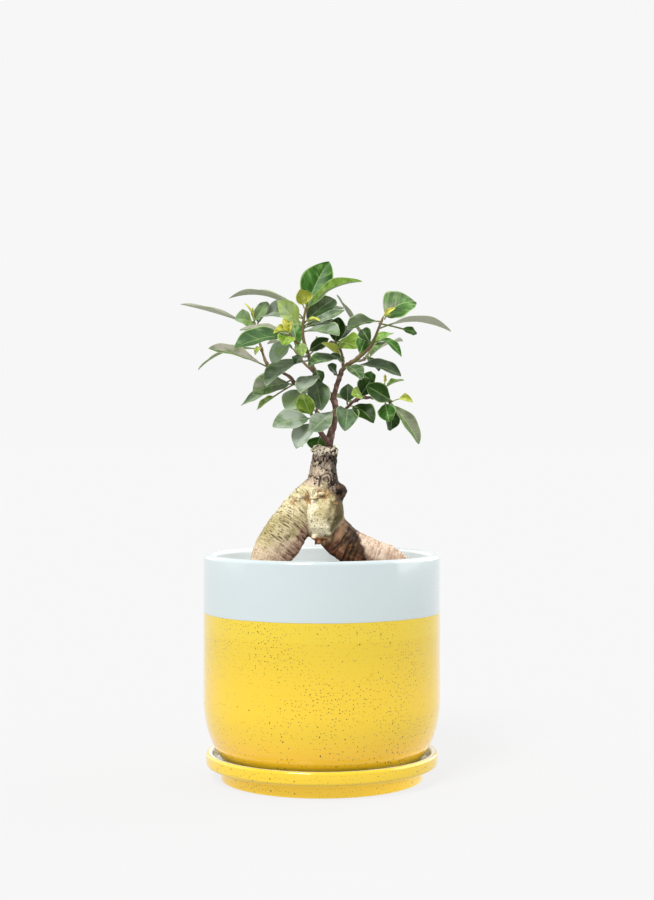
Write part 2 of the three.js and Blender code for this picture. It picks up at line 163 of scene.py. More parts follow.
def speckled_glaze(name, pale_share_of, painted_light_reach):
    """Glaze that is pale where pale_share_of(x, y, z, wobble) is 1 and speckled yellow elsewhere.
    Nearer to the upright axis than the reach it is given, the pale glaze is painted whiter: painted light
    against the shade inside."""
    tree = material_tree(name)
    where, x, y, z = own_place(tree)
    wobble = mottle(where, 45, 3) - 0.5
    pale = pale_share_of(x, y, z, wobble)
    cloud = mottle(where, 16, 2)
    # The specks are laid out on the unrolled wall, so that each one shows whole.
    out = (x * x + y * y).math("SQRT")
    girth = x.math("ARCTAN2", -y) * out.math("MAXIMUM", 0.05)
    unrolled = result(tree, "ShaderNodeCombineXYZ", {0: girth, 1: z - out})
    crowd = mottle(unrolled, 24, 2).step(0.3, 0.65)
    small = specks(unrolled, 0.0024, 0.00044 * (0.6 + 0.5 * crowd), 0.3 + 0.6 * crowd)
    large = specks(unrolled, 0.0085, 0.00060, 0.45)
    speck = small.math("MAXIMUM", large)
    # Painted light: the glaze is painted lighter towards the bottom as if lit by the floor, a shade lighter
    # just under the band as a painted reflection, lighter on the saucer's base in the collar's shadow, and
    # warmer low on the belly as a painted warm bounce.
    yellow = layered(
        blended(cloud, "c5a718", "ccb020"),
        (z.step(0.100, 0.060) * 0.8, "d5b21e"),
        (z.step(0.1035, 0.1045) * 0.4, "ccb42a"),
        (z.step(0.0105, 0.0085) * 0.8, "fed01a"),
        (z.step(0.046, 0.022) * z.step(0.0195, 0.0205) * 0.6, "ecb418"),
        (speck, "1c1404"))
    # The pale glaze within that reach is painted whiter: painted light against the shade inside the planter
    # and the saucer.
    painted_inner_light = out.step(painted_light_reach, painted_light_reach - 0.0015)
    white = blended(painted_inner_light, blended(cloud, "acb6b8", "b1bbbc"), "e2ebec")
    ripple = mottle(where, 60, 2)
    relief = ripple * 0.1 + pale * 0.9 - speck * 0.25
    roughness = 0.10 + 0.08 * mottle(where, 90, 2) + 0.15 * speck
    return finish(roughness, blended(pale, yellow, white), relief, 0.00015,
                  **{"Coat Weight": 0.4, "Coat Roughness": 0.05})


def rounded(corners):
    """Turns corners of (radius, height, rounding) into an outline whose corners are arcs."""
    outline = []
    for place, (radius, height, rounding) in enumerate(corners):
        here = Vector((radius, height))
        if not rounding:
            outline.append(here)
            continue
        before = (Vector(corners[place - 1][:2]) - here).normalized()
        after = (Vector(corners[(place + 1) % len(corners)][:2]) - here).normalized()
        half = before.angle(after) / 2
        centre = here + (before + after).normalized() * rounding / math.sin(half)
        first = here + before * rounding / math.tan(half) - centre
        last = here + after * rounding / math.tan(half) - centre
        for step in range(7):
            spoke = first.slerp(last, step / 6)
            outline.append(centre + spoke.normalized() * rounding)
    return outline


def in_scene(name, data):
    """A new object in the scene, at the origin."""
    made = bpy.data.objects.new(name, data)
    bpy.context.scene.collection.objects.link(made)
    return made


def thrown(name, outline, material):
    """Spins an outline of (radius, height) round the upright axis into one closed shape."""
    shape = bmesh.new()
    points = [shape.verts.new((radius, 0, height)) for radius, height in outline]
    edges = [shape.edges.new(pair) for pair in zip(points, points[1:] + points[:1])]
    turn = {"cent": (0, 0, 0), "axis": (0, 0, 1), "angle": 2 * math.pi, "steps": 192}
    bmesh.ops.spin(shape, geom=points + edges, use_merge=True, **turn)
    bmesh.ops.remove_doubles(shape, verts=shape.verts, dist=1e-6)
    flat = [edge for edge in shape.edges if not edge.link_faces]
    bmesh.ops.delete(shape, geom=flat, context="EDGES")
    bmesh.ops.recalc_face_normals(shape, faces=shape.faces)
    for face in shape.faces:
        face.smooth = True
    mesh = bpy.data.meshes.new(name)
    shape.to_mesh(mesh)
    shape.free()
    mesh.materials.append(material)
    return in_scene(name, mesh)


collar, _, saucer_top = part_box("saucer")[1]
base, collar_foot, well, well_floor = 0.0706, 0.0104, 0.064, 0.004
saucer_outline = rounded([
    (0, 0, 0), (base, 0, 0.0012), (base, collar_foot - 0.0022, 0.0015),
    (collar, collar_foot, 0.002), (collar, saucer_top, 0.0016),
    (collar - 0.0042, saucer_top, 0.0016), (collar - 0.0059, collar_foot + 0.0022, 0.003),
    (well + 0.0015, well_floor, 0.006), (0, well_floor, 0),
])


def saucer_lining(x, y, z, wobble):
    """Pale where the surface looks up or inwards, short of the rim's crown."""
    out = (x * x + y * y).math("SQRT")
    way_x, way_y, way_z = parts_of(result(x.tree, "ShaderNodeNewGeometry", output="Normal"))
    outward = (x * way_x + y * way_y) / out.math("MAXIMUM", 0.001)
    looks_in = (way_z * 0.6 - outward).step(0.25, 0.45)
    return looks_in * (out + wobble * 0.0008).step(collar - 0.0018, collar - 0.0024)


# All of the saucer's pale glaze is painted whiter against its shade: it lies well within a reach of twice
# the collar.
saucer_finish = speckled_glaze("Saucer glaze", saucer_lining, 2 * collar)
saucer = thrown("glazed_saucer", saucer_outline, saucer_finish)
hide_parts("saucer")
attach(saucer, "root")

# ---- Planter ----
# A stoneware planter, thrown with a straight wall over a rounded belly and a foot ring. The
# lower part is dipped in the speckled yellow glaze, and the rim and inside in the pale one.
pot_low, pot_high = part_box("pot")
wall, belly_top, foot, glaze_line, drain = 0.007, 0.056, 0.050, 0.1167, 0.006
pot_radius, pot_top, pot_base = pot_high.x, pot_high.z, pot_low.z


def belly(height, inset):
    drop = (belly_top - height) / (belly_top - pot_base)
    return foot + (pot_radius - foot) * math.sqrt(max(0, 1 - drop * drop)) - inset


def belly_run(start, stop, inset, steps):
    """Outline points of the belly from one height to another, closer together near the foot."""
    shares = [1 - math.cos(math.pi / 2 * step / steps) for step in range(1, steps)]
    heights = [start + (stop - start) * share for share in shares]
    return [(belly(height, inset), height, 0) for height in heights]


inner_floor = pot_base + wall
outside = belly_run(pot_base, belly_top, 0, 26)
inside = belly_run(inner_floor + 0.008, belly_top, wall, 12)[::-1]
pot_outline = rounded([
    (drain, pot_base + 0.0015, 0), (foot - 0.006, pot_base + 0.0015, 0.0005),
    (foot - 0.0055, pot_base, 0.0005), (foot, pot_base, 0), *outside,
    (pot_radius, belly_top, 0), (pot_radius, 0.08, 0), (pot_radius, 0.11, 0), (pot_radius, 0.125, 0),
    (pot_radius, pot_top, 0.0026), (pot_radius - wall, pot_top, 0.0026),
    (pot_radius - wall, 0.12, 0), (pot_radius - wall, belly_top, 0), *inside,
    (foot, inner_floor, 0.003), (drain, inner_floor, 0.001),
])


def dipped_rim(x, y, z, wobble):
    return (z + wobble * 0.0008).step(glaze_line - 0.0001, glaze_line + 0.0002).math(
        "MAXIMUM", (x * x + y * y).math("SQRT").step(pot_radius - 0.004, pot_radius - 0.006)
        * z.step(belly_top, belly_top + 0.01))


planter_finish = speckled_glaze("Planter glaze", dipped_rim, pot_radius - 0.005)
planter = thrown("glazed_planter", pot_outline, planter_finish)
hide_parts("pot")
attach(planter, "root")

# ---- Potting mix ----
# Loose bark, coir and pumice, filled round the roots to two fingers under the rim. The grains
# lie on a bed that keeps the hollows of the packed soil, so that nothing floats.
def welded_copy(node, name):
    """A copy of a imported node's mesh with its loose triangles joined at their corners."""
    shape = bmesh.new()
    shape.from_mesh(frame["nodes"][node].data)
    bmesh.ops.remove_doubles(shape, verts=shape.verts, dist=1e-6)
    mesh = bpy.data.meshes.new(name)
    shape.to_mesh(mesh)
    shape.free()
    return in_scene(name, mesh)


def geometry_tree(name, **sizes):
    """A geometry tree with named inputs: a number, a whole number, a vector or a material each."""
    tree = bpy.data.node_groups.new(name, "GeometryNodeTree")
    for way in ("INPUT", "OUTPUT"):
        tree.interface.new_socket(name="Geometry", in_out=way, socket_type="NodeSocketGeometry")
    for title, value in sizes.items():
        kind = {tuple: "Vector", float: "Float", int: "Int", bpy.types.Material: "Material"}[type(value)]
        socket = tree.interface.new_socket(name=title, in_out="INPUT", socket_type=f"NodeSocket{kind}")
        socket.default_value = value
    given = placed(tree, "NodeGroupInput")
    return tree, {socket.name: Flow(tree, socket) for socket in given.outputs if socket.name}


def ended(geometry, material):
    """Closes a geometry tree: the instances become real, and take their material."""
    tree = geometry.tree
    real = result(tree, "GeometryNodeRealizeInstances", {"Geometry": geometry})
    dressed = result(tree, "GeometryNodeSetMaterial", {"Geometry": real, "Material": material})
    tree.links.new(dressed.socket, placed(tree, "NodeGroupOutput").inputs[0])


def grown(source, tree, **sizes):
    """Runs a geometry tree over an object and leaves its result there as a plain mesh."""
    modifier = source.modifiers.new(tree.name, "NODES")
    modifier.node_group = tree
    places = {item.name: item.identifier for item in tree.interface.items_tree if item.in_out == "INPUT"}
    for title, value in sizes.items():
        modifier[places[title]] = value
    return settled(source)


def settled(source):
    """Swaps an object's mesh and modifiers for the plain mesh that they give."""
    depsgraph = bpy.context.evaluated_depsgraph_get()
    mesh = bpy.data.meshes.new_from_object(
        source.evaluated_get(depsgraph), preserve_all_data_layers=True, depsgraph=depsgraph)
    source.modifiers.clear()
    source.data = mesh
    mesh.name = source.name
    return source


def stored(geometry, title, value, kind="FLOAT", domain="POINT"):
    feeds = {"Geometry": geometry, "Name": title, "Value": value}
    return result(geometry.tree, "GeometryNodeStoreNamedAttribute", feeds, data_type=kind, domain=domain)


def vectors(operation, first, second):
    """A sum on vectors, where SCALE takes a number second, and DOT_PRODUCT gives a number."""
    feeds = {0: first, "Scale" if operation == "SCALE" else 1: second}
    output = "Value" if operation == "DOT_PRODUCT" else 0
    return result(first.tree, "ShaderNodeVectorMath", feeds, output, operation=operation)


def kept(tree, *titles):
    """Numbers stored on the mesh's points, read by a material."""
    return [result(tree, "ShaderNodeAttribute", output="Fac", attribute_name=title) for title in titles]


tree = material_tree("Potting mix")
where = own_place(tree)[0]
kind, = kept(tree, "kind")
grit = mottle(where, 700, 3)
mix_colour = layered(
    blended(grit, "1c130d", "3d2b1f"),
    (kind.step(0.55, 0.6), blended(grit, "4a2f1d", "76502f")),
    (kind.step(0.86, 0.88), blended(grit, "8c8272", "c2b8a4")))
mix_finish = finish(0.85 + 0.1 * grit, mix_colour, grit, 0.0004)


def chance(low, high, seed):
    """Three numbers for each grain, drawn between low and high."""
    feeds = {0: low, 1: high, "Seed": seed}
    return result(seed.tree, "FunctionNodeRandomValue", feeds, data_type="FLOAT_VECTOR")


tree, given = geometry_tree("Loose mix", **{
    "Bed Height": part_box("soil")[1].z - 0.005, "Coarse Density": 6.0e4, "Fine Density": 2.4e5, "Seed": 11})
bed, bed_height, seed = given["Geometry"], given["Bed Height"], given["Seed"]
height = parts_of(result(tree, "GeometryNodeInputPosition"))[2]
facing = parts_of(result(tree, "GeometryNodeInputNormal"))[2]
on_top = height.step(bed_height, bed_height + 0.0001) * facing.step(0.5, 0.6)
on_top = on_top.math("GREATER_THAN", 0.5)
layers = [bed]
for title, grain_size, seed_shift in (("Coarse Density", 0.0017, 0), ("Fine Density", 0.0008, 7)):
    spread = placed(tree, "GeometryNodeDistributePointsOnFaces", {
        "Mesh": bed, "Selection": on_top, "Density": given[title], "Seed": seed + seed_shift})
    grain = result(tree, "GeometryNodeMeshIcoSphere", {"Radius": grain_size, "Subdivisions": 1})
    size = chance((0.6, 0.4, 0.4), (1.7, 1.1, 0.8), seed + seed_shift)
    spin = chance((-0.5, -0.5, 0), (0.5, 0.5, 6.28), seed + 1)
    chosen = result(tree, "FunctionNodeRandomValue", {"Seed": seed + 2}, output=1)
    grains = result(tree, "GeometryNodeInstanceOnPoints", {
        "Points": Flow(tree, spread.outputs["Points"]), "Instance": grain, "Rotation": spin, "Scale": size})
    layers.append(stored(grains, "kind", chosen, domain="INSTANCE"))
heap = placed(tree, "GeometryNodeJoinGeometry")
for layer in layers[::-1]:
    tree.links.new(layer.socket, heap.inputs[0])
heap = result(tree, "GeometryNodeRealizeInstances", {0: Flow(tree, heap.outputs[0])})
shift = result(tree, "ShaderNodeTexNoise", {"Scale": 420.0, "Detail": 1.0}, output=1)
shift = vectors("MULTIPLY", vectors("SUBTRACT", shift, (0.5,) * 3), (0.0022,) * 3)
heap = result(tree, "GeometryNodeSetPosition", {"Geometry": heap, "Selection": on_top, "Offset": shift})
ended(heap, mix_finish)
mix = grown(welded_copy("soil", "potting_mix"), tree)
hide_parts("soil")
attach(mix, "root")

# ---- Rootstock ----
# The swollen roots of the ficus, lifted so that they straddle the mix. The skin is khaki green
# with rows of corky dashes, tan where a leg goes under, and the grafted neck has cracked bark.
root_runs = {  # each run in millimetres: x, y, z and radius along it
    "neck": [(3, 0, 231, 8.8), (2, 0, 222, 9.2), (1, 0, 211, 10.5), (0, -1, 198, 13)],
    "bulb": [(0.5, -3, 204, 6), (0.5, -3, 196, 13), (0.5, -3, 185, 15.2), (0.5, -3, 174, 12.5),
             (0.5, -3, 165, 4)],
    "left": [(2, 0, 207, 9), (-8, 0, 195, 12.5), (-18.5, -2, 181, 14), (-28.5, -5, 166, 15),
             (-38, -8, 152, 12.5), (-43, -10, 136, 9), (-46, -11, 112, 6), (-46, -10, 88, 3)],
    "right": [(3, -1, 177, 12), (17, -1, 163, 12.6), (32, -3, 156, 12.4), (48, -5, 150.5, 11),
              (59.5, -6, 140, 8), (63, -6, 118, 4.5), (63, -5, 92, 2.5)],
    "back": [(2, 3, 188, 11), (12, 20, 166, 10), (22, 36, 150, 8.5), (28, 45, 132, 6.5), (30, 48, 104, 3)],
}
mm = 0.001
# Bosses, scars and rootlets: place and half-sizes, in millimetres.
root_bosses = [
    ((1.5, -6.5, 184.5), (14.2, 14, 20)), ((5.5, -8.8, 209), (4.2, 2.8, 4.6)),
    ((5.5, -10.6, 209), (2.1, 2, 2.3)), ((-5, -5, 229), (3.2, 3, 2.2)), ((1, -7, 230.5), (3, 2.6, 2)),
    ((9, -3.5, 229.5), (2.6, 3.6, 3.2)), ((-3, 4, 230.5), (4.2, 4.2, 2.4)), ((5, 6, 231), (4, 3.6, 2)),
    ((13.5, -4, 198), (3.6, 4.2, 4.6)), ((11, -8, 203), (3, 2.6, 4)), ((-5.5, -18.2, 196), (3.4, 2, 1.6)),
    ((0, -18, 199), (3, 2, 1.8)), ((-13, -11.5, 197), (3.2, 2.4, 2.2)),
    ((5.5, -15.5, 171.5), (1.6, 2, 1.8)), ((-5.5, -12.5, 168.5), (2.6, 2.4, 2)),
    ((-2, -12, 165.5), (1.8, 1.8, 2.4)), ((1.6, -10, 165.5), (1.1, 1.1, 3)),
    ((-4.5, -10, 164.6), (0.9, 0.9, 2.2)), ((15, -10, 170), (2.6, 4, 5)), ((20, -12, 165), (2.4, 3, 5)),
    ((29, -12, 158), (3, 3, 4)),
]


def nearest_on(points, run):
    """For every point: how far along a run its nearest place is, the way out, and its share of radius."""
    run = np.array(run, float) * mm
    pieces = [np.linspace(run[at], run[at + 1], 16, endpoint=False) for at in range(len(run) - 1)]
    line = np.concatenate([*pieces, run[-1:]])
    travelled = np.concatenate([[0], np.cumsum(np.linalg.norm(np.diff(line[:, :3], axis=0), axis=1))])
    share = np.full(len(points), 1e9)
    nearest = np.zeros(len(points), int)
    for at, (*centre, radius) in enumerate(line):
        away = np.linalg.norm(points - centre, axis=1) / max(radius, 0.002)
        nearest = np.where(away < share, at, nearest)
        share = np.minimum(away, share)
    heading = np.gradient(line[:, :3], axis=0)
    heading /= np.linalg.norm(heading, axis=1)[:, None]
    out = points - line[nearest, :3]
    ahead = (out * heading[nearest]).sum(1)
    return travelled[nearest] + ahead, out - heading[nearest] * ahead[:, None], share


def grown_together(piece, grid, softenings):
    """Joins all of a piece's solids under one skin of even facets, and softens it."""
    remesh = piece.modifiers.new("Skin", "REMESH")
    remesh.mode, remesh.voxel_size, remesh.use_smooth_shade = "VOXEL", grid, True
    soften = piece.modifiers.new("Soften", "SMOOTH")
    soften.factor, soften.iterations = 0.5, softenings
    settled(piece)


def marked(piece, title, values):
    """Stores a number for each of a piece's points."""
    spread = piece.data.attributes.new(title, "FLOAT", "POINT")
    spread.data.foreach_set("value", np.asarray(values, np.float32))


root = welded_copy("rootstock", "swollen_rootstock")
shape = bmesh.new()
shape.from_mesh(root.data)
for centre, sizes in root_bosses:
    made = bmesh.ops.create_icosphere(shape, subdivisions=2, radius=mm)["verts"]
    bmesh.ops.scale(shape, vec=sizes, verts=made)
    bmesh.ops.translate(shape, vec=Vector(centre) * mm, verts=made)
shape.to_mesh(root.data)
shape.free()
grown_together(root, 0.0008, 7)

points = np.zeros(len(root.data.vertices) * 3)
root.data.vertices.foreach_get("co", points)
points = points.reshape(-1, 3)
found = {title: nearest_on(points, run) for title, run in root_runs.items()}
closeness = {title: np.exp(-found[title][2] / 0.06) for title in root_runs}
total = sum(closeness.values()) + 1e-30
grain = np.zeros_like(points)
for title, (along, out, share) in found.items():
    weight = closeness[title] / total
    grain += weight[:, None] * np.stack([along, out[:, 0] + out[:, 2] * 0.6, out[:, 1]], 1)
    marked(root, title, weight)
marked(root, "ringed", 1 - 0.85 * closeness["bulb"] / total)
root.data.attributes.new("grain", "FLOAT_VECTOR", "POINT").data.foreach_set(
    "vector", grain.astype(np.float32).ravel())


def stretched(vector, scale, detail=2.0):
    """Noise stretched along the grain: scale gives blotches to the metre along and across it."""
    long = vectors("MULTIPLY", vector, (scale[0], scale[1], scale[1]))
    return result(vector.tree, "ShaderNodeTexNoise", {"Vector": long, "Scale": 1.0, "Detail": detail})


def bark_line(x, z, cloud):
    """1 on the neck's cracked bark, which comes lower on the knobbly right side, and 0 on the skin."""
    sag = (x - 0.004).math("MAXIMUM", 0.0).math("MINIMUM", 0.010) * 1.15
    return (z + sag + (cloud - 0.5) * 0.016).step(0.2020, 0.2080)


def bark_ridges(where):
    """0 in the neck's winding cracks and 1 between them."""
    tall = vectors("MULTIPLY", where, (1.0, 1.0, 0.6))
    wide = abs(mottle(tall, 150, 3.5, 0.6) - 0.5)
    narrow = abs(mottle(tall, 420, 2.0) - 0.5)
    return wide.step(0.0, 0.05) * (0.5 + 0.5 * narrow.step(0.0, 0.06))


tree = material_tree("Root bark")
where, x, y, z = own_place(tree)
grain = result(tree, "ShaderNodeAttribute", output="Vector", attribute_name="grain")
bulb, left, right, back, crevice = kept(tree, "bulb", "left", "right", "back", "crevice")
fine, cloud, broad = mottle(where, 900, 3), mottle(where, 180, 3), mottle(where, 60, 2)
grainy, gritty, wander = fine.step(0.35, 0.65), mottle(where, 520, 2), cloud - 0.5
dashes = stretched(grain, (1300, 330), 1.0).step(0.57, 0.64)
rings = stretched(grain, (520, 60), 3.0)
ridges = bark_ridges(where)
face_x, _, face_z = parts_of(result(tree, "ShaderNodeNewGeometry", output="Normal"))
# The green skin of the bulb and the left leg: mossy above and pink low down. It is painted paler on the side
# that faces left and on the bulb's lower part: painted light where the key light falls.
mossy = (face_z * 0.9 - face_x * 0.6 + wander * 0.8).step(0.35, 0.95) * left
mossy = mossy.math("MAXIMUM", bulb * (0.12 + 0.45 * broad.step(0.45, 0.62)))
painted_left_light = (wander * 0.8 - face_x).step(0.05, 0.6).math("MAXIMUM", z.step(0.186, 0.174))
painted_left_light *= (bulb + left * 0.4 * z.step(0.178, 0.188)).math("MINIMUM", 1.0)
pink = left * (0.172 - z + wander * 0.024).step(0.0, 0.016)
khaki = layered(
    blended(cloud.step(0.35, 0.65), "b2a67a", "cfc29c"),
    (broad.step(0.40, 0.62), blended(grainy, "d8caaa", "ac9f70")),
    (mossy * 0.65, blended(cloud, "979052", "aca364")),
    (painted_left_light * 0.85, "f4ebcc"),
    # A band at mid-height on the left leg is painted darker: painted shade that tones down the key light
    # there.
    (left * 0.35 * z.step(0.164, 0.172) * z.step(0.190, 0.182), "7d6f46"),
    (fine.step(0.54, 0.64) * 0.6, "7a6c40"),
    (gritty.step(0.60, 0.66) * broad.step(0.35, 0.6) * 0.7, "5f4d2a"),
    (rings.step(0.56, 0.68) * 0.35 * (1 - bulb), "d6c5a4"),
    (rings.step(0.50, 0.38) * 0.45 * (1 - bulb), "7d6c46"),
    (dashes * 0.9 * (1 - bulb * 0.6), "3d2a18"),
    (pink * 0.75, blended(grainy, "a08468", "dcc6b0")))
shaded = (face_x * 0.9 - face_z * 0.6 + wander * 0.7).step(0.28, 0.85)
purple = layered(
    blended(rings.step(0.38, 0.54), "7a5746", "e8c2aa"),
    (cloud.step(0.5, 0.7) * 0.5, "a88c74"),
    (dashes * 0.7, "241410"))
right_shade = (face_x * 0.9 - face_z * 0.25 + wander * 0.6).step(0.06, 0.55)
# The right leg is brown with two slanting creases near the bulb, painted as dark lines of shade, and tan
# further out.
bent = x - (z - 0.165) * 0.55 + wander * 0.006
crease_shade = (abs(bent - 0.0135) / 0.0011).step(1.0, 0.3)
crease_shade = crease_shade.math("MAXIMUM", (abs(bent - 0.0200) / 0.0009).step(1.0, 0.3))
brown = layered(
    blended(rings.step(0.4, 0.6), "4a3526", "8a6c52"),
    ((x + wander * 0.012).step(0.013, 0.020), blended(rings.step(0.4, 0.6), "1a0f07", "3d2814")),
    (cloud.step(0.58, 0.72) * 0.5, "86653f"),
    (crease_shade * 0.85, "150c06"))
tan = layered(
    blended(cloud.step(0.4, 0.62), "a88f7a", "c4b09c"),
    (rings.step(0.5, 0.66) * 0.5, "cfbca8"),
    (rings.step(0.48, 0.36) * 0.5, "8c6a52"),
    (dashes * 0.6, "6f4a36"))
reach = (x + wander * 0.006 + (z - 0.155) * 0.35).step(0.0295, 0.0325)
# The right leg's underside is painted a darker brown: painted shade.
right_underside_shade = right * (-face_z - face_x * 0.4).step(0.05, 0.6)
# Scars cross the bulb's shoulders, and its low tip is torn and pale.
scars = (z + wander * 0.012).step(0.1895, 0.1945) * z.step(0.2055, 0.200)
scars *= cloud.step(0.52, 0.60) * y.step(-0.006, -0.012)
tips = bulb * (z + wander * 0.006).step(0.1715, 0.1675)
skin = layered(
    khaki,
    (left * shaded, purple),
    (bulb * right_shade, blended(fine, "30260f", "5c4e24")),
    (right.step(0.35, 0.65), blended(reach, brown, tan)),
    (right_underside_shade * 0.85, blended(rings.step(0.4, 0.6), "3a2016", "80563f")),
    (back.step(0.35, 0.65), blended(rings, "6e5c38", "a08d62")),
    (scars * 0.9, blended(fine.step(0.4, 0.6), "52301a", "ad8658")),
    (tips, blended(cloud.step(0.42, 0.56), "7c4c2e", "dcb68e")))
# An old branch closed over into a ringed knot in the neck's front, with a deep split beside it
# painted as a dark line of shade.
front, knot_x, knot_z, ring_gap = y.step(0.0, -0.004), x - 0.0030, z - 0.2088, 0.0024
knot_out = (knot_x * knot_x * 1.3 + knot_z * knot_z).math("SQRT")
knot_rings = ((knot_out + wander * 0.0045) * (2 * math.pi / ring_gap)).math("SINE").step(-0.4, 0.8)
knot = (knot_out + (fine - 0.5) * 0.002).step(0.0056, 0.0046) * front
split = (abs(x + 0.0014 + wander * 0.003) / 0.0011).step(1.0, 0.4) * front
split *= z.step(0.2015, 0.203) * z.step(0.2125, 0.211)
flare = x.step(0.002, -0.004) * (z + wander * 0.02).step(0.2225, 0.2125)
neck_bark = layered(
    blended(grainy, "5a4b40", "ab988a"),
    (cloud.step(0.48, 0.54), blended(fine, "bda68e", "f0e0c8")),
    (broad.step(0.45, 0.6) * 0.6 * x.step(-0.002, 0.004), "3a2e28"),
    # Painted shade on the side of the neck that faces right and on its right third.
    ((face_x + wander * 0.5).step(0.1, 0.8) * 0.75, "1c130d"),
    ((x + wander * 0.004).step(0.004, 0.0075) * z.step(0.200, 0.206) * 0.6, "1c130d"),
    (flare * 0.85, blended(fine, "b8a088", "dcc6ae")),
    (ridges.step(0.9, 0.1), "1f1510"),
    (knot * 0.75, blended(knot_rings, "2c2018", "ab957e")),
    (split * 0.9, "1c110b"))
barked = bark_line(x, z, cloud)
# The knob on the neck's right is dark brown, and painted darker over its lit top as painted shade.
shaded_knob = (x + wander * 0.004).step(0.0088, 0.0105) * z.step(0.192, 0.1945) * z.step(0.2100, 0.2065)
cut = (z + wander * 0.006).step(0.2248, 0.2280)
# Raised parts of the skin get a painted highlight, except on the knob, the neck's right side and the right
# leg.
raised_highlight = crevice.step(-0.25, -0.9) * (1 - shaded_knob) * (1 - barked * x.step(0.002, 0.006)) * (1 - right)
skin = layered(
    skin,
    (barked, neck_bark),
    (shaded_knob * 0.9, blended(cloud.step(0.45, 0.7), "20140a", "543c22")),
    (cut, blended(gritty.step(0.42, 0.48), "4a3224", "fdf0d8")),
    # Hollows are painted dark as painted shade, less on the cut.
    (crevice.step(0.15, 1.1) * (0.85 - 0.45 * cut), "24160f"),
    (raised_highlight * 0.3, "d9cba6"))
relief = fine * 0.5 + rings * 0.5 + ridges * barked
root_finish = finish(0.62 + 0.2 * fine, skin, relief, 0.0003, ior=1.28)

tree, given = geometry_tree("Root skin", **{
    "Lump Height": 0.0009, "Ring Height": 0.0008, "Dash Height": 0.00022, "Crack Depth": 0.0011})


def read(title, kind="FLOAT"):
    return result(tree, "GeometryNodeInputNamedAttribute", {"Name": title}, data_type=kind)


def lifted(geometry, lift):
    """Moves each point of a surface out along its normal."""
    move = vectors("SCALE", result(geometry.tree, "GeometryNodeInputNormal"), lift)
    return result(geometry.tree, "GeometryNodeSetPosition", {"Geometry": geometry, "Offset": move})


here = result(tree, "GeometryNodeInputPosition")
grain = read("grain", "FLOAT_VECTOR")
x, _, z = parts_of(here)
barked = bark_line(x, z, mottle(here, 180, 3))
bare = 1 - barked
lift = (mottle(here, 75, 2) - 0.5) * given["Lump Height"] * 2
lift += (stretched(grain, (520, 60), 3.0) - 0.5) * given["Ring Height"] * 2 * bare * read("ringed")
lift += stretched(grain, (1300, 330), 1.0).step(0.58, 0.68) * given["Dash Height"] * bare
lift += (bark_ridges(here) - 1) * given["Crack Depth"] * barked
lift += (mottle(here, 300, 3) - 0.5) * given["Crack Depth"] * 1.6 * barked
skin = lifted(given["Geometry"], lift)
# A hollow is where the skin lies deeper than its own surroundings; the bark's finish paints shade there.
feeds = {"Value": here, "Iterations": 22}
eased = result(tree, "GeometryNodeBlurAttribute", feeds, data_type="FLOAT_VECTOR")
depth = vectors("DOT_PRODUCT", vectors("SUBTRACT", eased, here), result(tree, "GeometryNodeInputNormal"))
skin = stored(skin, "crevice", depth / mm)
ended(skin, root_finish)
grown(root, tree)
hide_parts("rootstock")
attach(root, "root")

# ---- Stems ----
# The grafted crown's branches: thin brown bark with raised leaf scars on the old wood, paler
# and greener towards the young tips. They grow out of the cut top of the neck.
stems = welded_copy("stems", "grafted_stems")
grown_together(stems, 0.00036, 4)

tree = material_tree("Stem bark")
where, x, _, z = own_place(tree)
fine, cloud = mottle(where, 1500, 3), mottle(where, 260, 2)
old_wood = layered(blended(fine, "3e2921", "6f5146"), (cloud.step(0.5, 0.65), "8a6a5f"))
green_wood = layered(blended(fine, "5d4a32", "8a7450"), (cloud.step(0.5, 0.62), "66703a"))
youth = (z + (cloud - 0.5) * 0.02 + abs(x) * 0.35).step(0.281, 0.303)
stem_colour = blended(youth, old_wood, green_wood)
stem_finish = finish(0.55 + 0.2 * fine, stem_colour, fine * 0.6 + cloud * 0.4, 0.00025, ior=1.4)

tree, given = geometry_tree("Stem bark", **{"Knot Height": 0.00045, "Grain Height": 0.00035})
here = result(tree, "GeometryNodeInputPosition")
knots = mottle(here, 190, 1.0).step(0.52, 0.68)
lift = knots * given["Knot Height"] + (mottle(here, 900, 2) - 0.5) * given["Grain Height"]
ended(lifted(given["Geometry"], lift), stem_finish)
grown(stems, tree)
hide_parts("stems")
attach(stems, "root")

